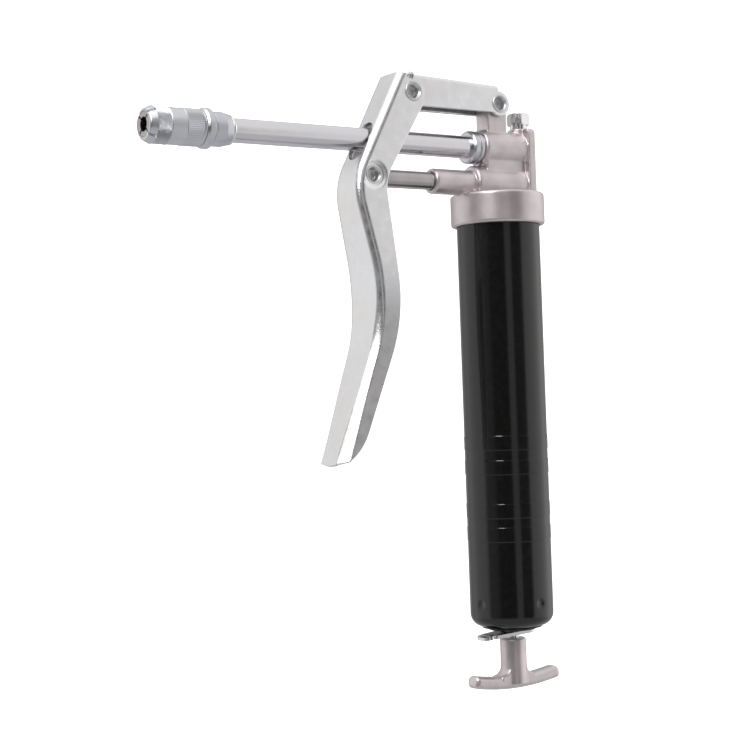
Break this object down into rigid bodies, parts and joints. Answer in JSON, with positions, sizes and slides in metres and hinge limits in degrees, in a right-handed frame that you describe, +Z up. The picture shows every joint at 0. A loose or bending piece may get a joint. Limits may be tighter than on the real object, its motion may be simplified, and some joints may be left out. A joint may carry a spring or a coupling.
{
  "type": "grease gun",
  "caption": "Small hand grease gun: squeeze lever on a link, rigid delivery pipe with a jaw coupler, knurled black barrel and a pull rod with a T-handle.",
  "frame": {"origin": "on the barrel axis, at the middle of the knurled hand grip", "axes": "+Z up the barrel towards the head, the delivery pipe and lever point along -X, Y is across the lever"},
  "size_m": [0.2027, 0.043, 0.2772],
  "materials": {
    "black_paint": "gloss black paint",
    "cast_metal": "satin die casting, faintly warm",
    "zinc_sheet": "satin zinc plating on pressed sheet",
    "bright_plate": "bright zinc plating",
    "chrome_pipe": "polished plating",
    "nickel": "satin nickel plating",
    "polished_steel": "ground steel",
    "spring_steel": "oiled spring wire",
    "rubber": "oil-proof rubber"
  },
  "bodies": {
    "barrel": {"barrel_tube": "black_paint", "barrel_end_cap": "black_paint", "follower_spring": "spring_steel", "latch_spring": "spring_steel"},
    "latch": {"latch_plate": "bright_plate"},
    "follower": {"follower_cup": "rubber", "follower_plate": "zinc_sheet"},
    "rod": {"follower_rod": "bright_plate", "rod_clip": "spring_steel", "t_handle": "cast_metal"},
    "gasket": {"head_gasket": "rubber"},
    "head": {"head_casting": "cast_metal", "plunger_packing": "rubber", "check_spring": "spring_steel", "pipe_collar": "nickel", "delivery_pipe": "chrome_pipe", "valve_body": "bright_plate", "valve_spring": "spring_steel", "coupler_body": "nickel", "coupler_ring": "bright_plate"},
    "check_valve": {"check_ball": "polished_steel"},
    "valve_pin": {"valve_pin": "polished_steel"},
    "coupler_sleeve": {"coupler_sleeve": "nickel"},
    "jaws": {"coupler_jaws": "polished_steel", "coupler_seal": "rubber", "coupler_spring": "spring_steel"},
    "plunger": {"plunger": "polished_steel"},
    "link": {"link": "zinc_sheet", "link_head_pin": "zinc_sheet"},
    "lever": {"lever": "zinc_sheet", "lever_link_pin": "zinc_sheet", "plunger_pin": "zinc_sheet"}
  },
  "joints": [
    {"name": "head_lift", "type": "slide", "parent": "barrel", "child": "gasket", "axis": [0, 0, 1], "range_m": [0, 0.01]},
    {"name": "head_unscrew", "type": "hinge", "parent": "gasket", "child": "head", "pos_m": [0, 0, 0.12], "axis": [0, 0, 1], "range_deg": [0, 1800]},
    {"name": "link_swing", "type": "hinge", "parent": "head", "child": "link", "pos_m": [-0.0016, 0, 0.1756], "axis": [0, -1, 0], "range_deg": [-6.6, 0]},
    {"name": "lever_squeeze", "type": "hinge", "parent": "link", "child": "lever", "pos_m": [-0.0515, 0, 0.177], "axis": [0, -1, 0], "range_deg": [0, 27]},
    {"name": "plunger_stroke", "type": "slide", "parent": "head", "child": "plunger", "axis": [1, 0, 0], "range_m": [0, 0.0152]},
    {"name": "follower_slide", "type": "slide", "parent": "barrel", "child": "follower", "axis": [0, 0, -1], "range_m": [0, 0.115], "stiffness_N_per_m": 300, "springref_m": -0.03, "deforming": ["follower_spring"]},
    {"name": "rod_spin", "type": "hinge", "parent": "follower", "child": "rod", "pos_m": [0, 0, 0], "axis": [0, 0, 1], "continuous": true},
    {"name": "latch_tilt", "type": "hinge", "parent": "barrel", "child": "latch", "pos_m": [0.0086, 0, -0.0653], "axis": [0, 1, 0], "range_deg": [0, 3.5], "stiffness_Nm_per_rad": 0.4, "springref_deg": -3.44, "deforming": ["latch_spring"]},
    {"name": "check_lift", "type": "slide", "parent": "head", "child": "check_valve", "axis": [0, 0, 1], "range_m": [0, 0.0012], "stiffness_N_per_m": 60, "springref_m": -0.002, "deforming": ["check_spring"]},
    {"name": "valve_press", "type": "slide", "parent": "head", "child": "valve_pin", "axis": [0, 0, -1], "range_m": [0, 0.001], "stiffness_N_per_m": 400, "springref_m": -0.002, "deforming": ["valve_spring"]},
    {"name": "jaw_push", "type": "slide", "parent": "head", "child": "jaws", "axis": [1, 0, 0], "range_m": [0, 0.0015], "stiffness_N_per_m": 800, "springref_m": -0.002},
    {"name": "coupler_adjust", "type": "hinge", "parent": "head", "child": "coupler_sleeve", "pos_m": [-0.17, 0, 0.1556], "axis": [1, 0, 0], "range_deg": [-180, 180]}
  ],
  "couplings": [
    {"joint": "head_lift", "follows": "head_unscrew", "m_per_rad": 0.00031831},
    {"joint": "link_swing", "follows": "lever_squeeze", "ratio": -0.23934},
    {"joint": "plunger_stroke", "follows": "lever_squeeze", "m_per_rad": 0.031848}
  ]
}
